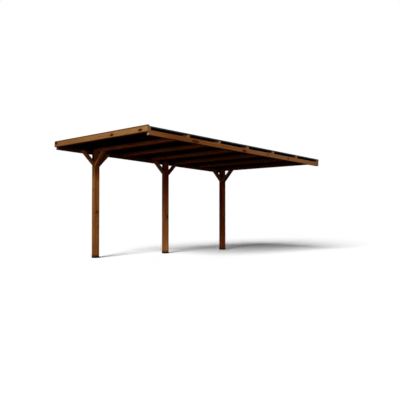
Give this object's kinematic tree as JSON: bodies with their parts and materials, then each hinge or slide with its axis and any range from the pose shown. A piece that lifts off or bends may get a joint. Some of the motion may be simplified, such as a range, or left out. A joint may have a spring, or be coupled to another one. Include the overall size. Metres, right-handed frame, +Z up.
{
  "type": "carport",
  "caption": "Lean-to timber carport with square posts, knee braces and a beam on one long side, a wall ledger on the other, and a ribbed steel roof that falls to one end.",
  "frame": {"origin": "middle of the wall ledger's back face", "axes": "+X along the length towards the low rear end, +Y away from the wall towards the posts, +Z up"},
  "size_m": [5.0389, 3.1508, 2.4976],
  "materials": {
    "timber": "brown stained softwood, matt",
    "roof_sheet": "black coated steel, satin",
    "post_shoe": "black powder coat, matt"
  },
  "bodies": {
    "root": {"front_post": "timber", "middle_post": "timber", "rear_post": "timber", "wall_ledger": "timber", "eave_beam": "timber", "front_board": "timber", "front_batten": "timber", "joist_1": "timber", "joist_2": "timber", "joist_3": "timber", "joist_4": "timber", "joist_5": "timber", "joist_6": "timber", "front_post_brace_forward": "timber", "front_post_brace_rearward": "timber", "front_post_brace_inward": "timber", "middle_post_brace_forward": "timber", "middle_post_brace_rearward": "timber", "rear_post_brace_forward": "timber", "rear_post_brace_inward": "timber", "front_post_shoe": "post_shoe", "middle_post_shoe": "post_shoe", "rear_post_shoe": "post_shoe", "roof_sheet_wall": "roof_sheet", "roof_sheet_centre": "roof_sheet", "roof_sheet_eave": "roof_sheet", "eave_trim": "roof_sheet"}
  },
  "joints": []
}
